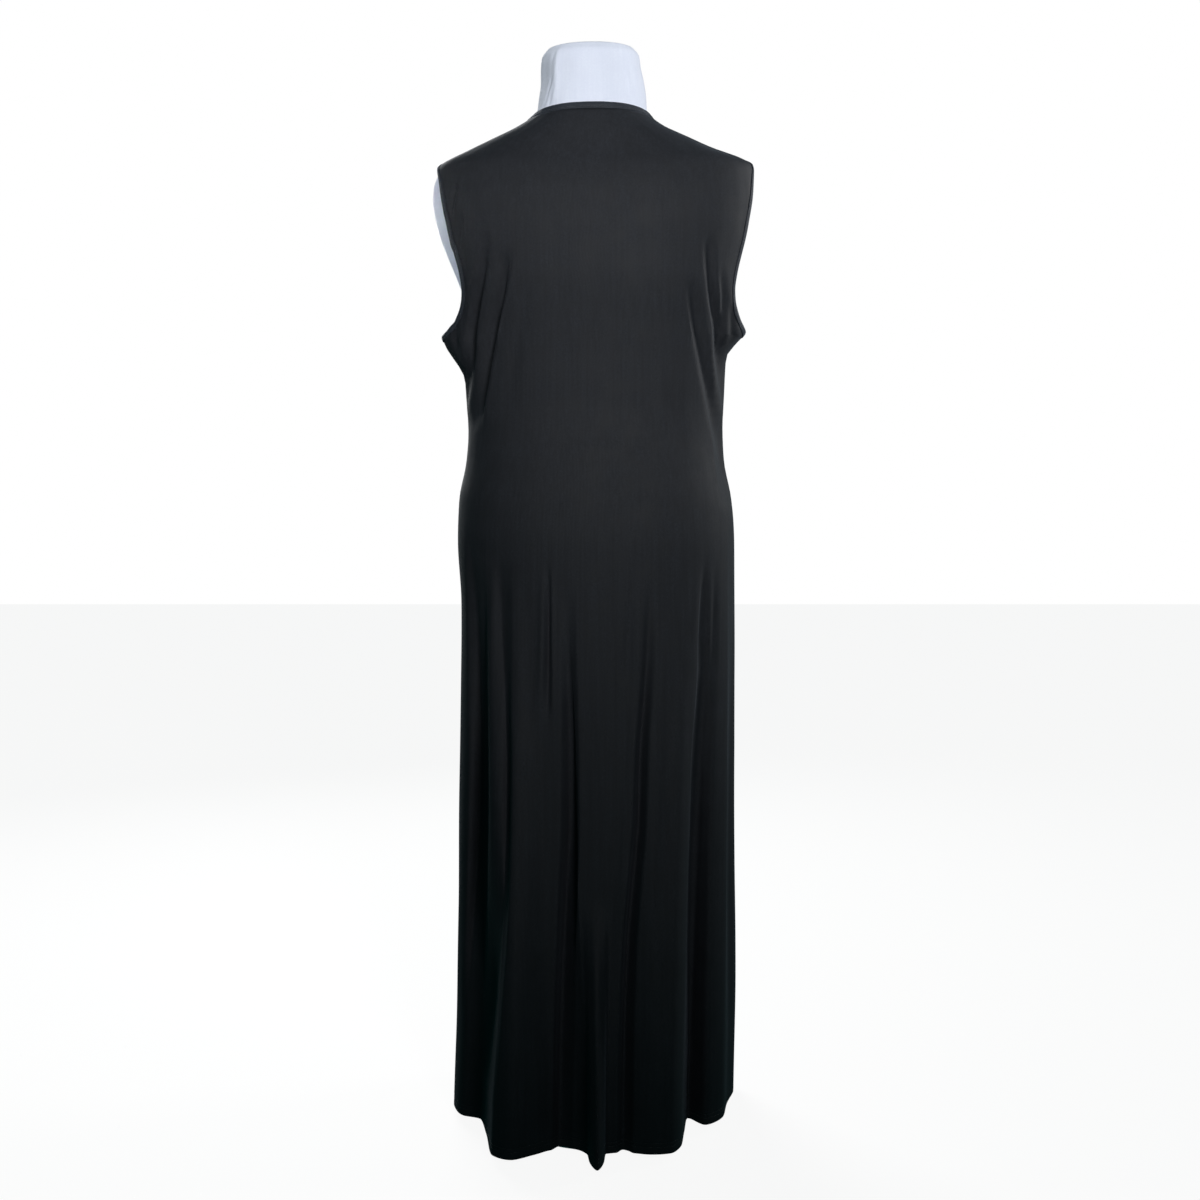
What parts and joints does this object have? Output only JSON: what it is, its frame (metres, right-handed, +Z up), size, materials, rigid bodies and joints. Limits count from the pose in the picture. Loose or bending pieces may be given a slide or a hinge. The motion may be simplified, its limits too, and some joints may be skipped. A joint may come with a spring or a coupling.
{
  "type": "maxi dress on dress form",
  "caption": "Sleeveless black jersey maxi dress worn by a white limbless dress form on a pole and round base.",
  "frame": {"origin": "middle of the underside of the form's round base, on the floor", "axes": "+Z up; the dress faces -Y and its back faces +Y; +X is the wearer's left"},
  "size_m": [0.4127, 0.364, 1.423],
  "materials": {
    "jersey": "matte black slinky jersey",
    "binding": "matte black jersey binding",
    "cover": "white stretch jersey cover",
    "pole_steel": "brushed",
    "base_paint": "white powder coat"
  },
  "bodies": {
    "root": {"dress_back": "jersey", "dress_front": "jersey", "neck_binding": "binding", "armhole_binding_left": "binding", "armhole_binding_right": "binding", "form_body": "cover", "form_pole": "pole_steel", "form_base": "base_paint"}
  },
  "joints": []
}
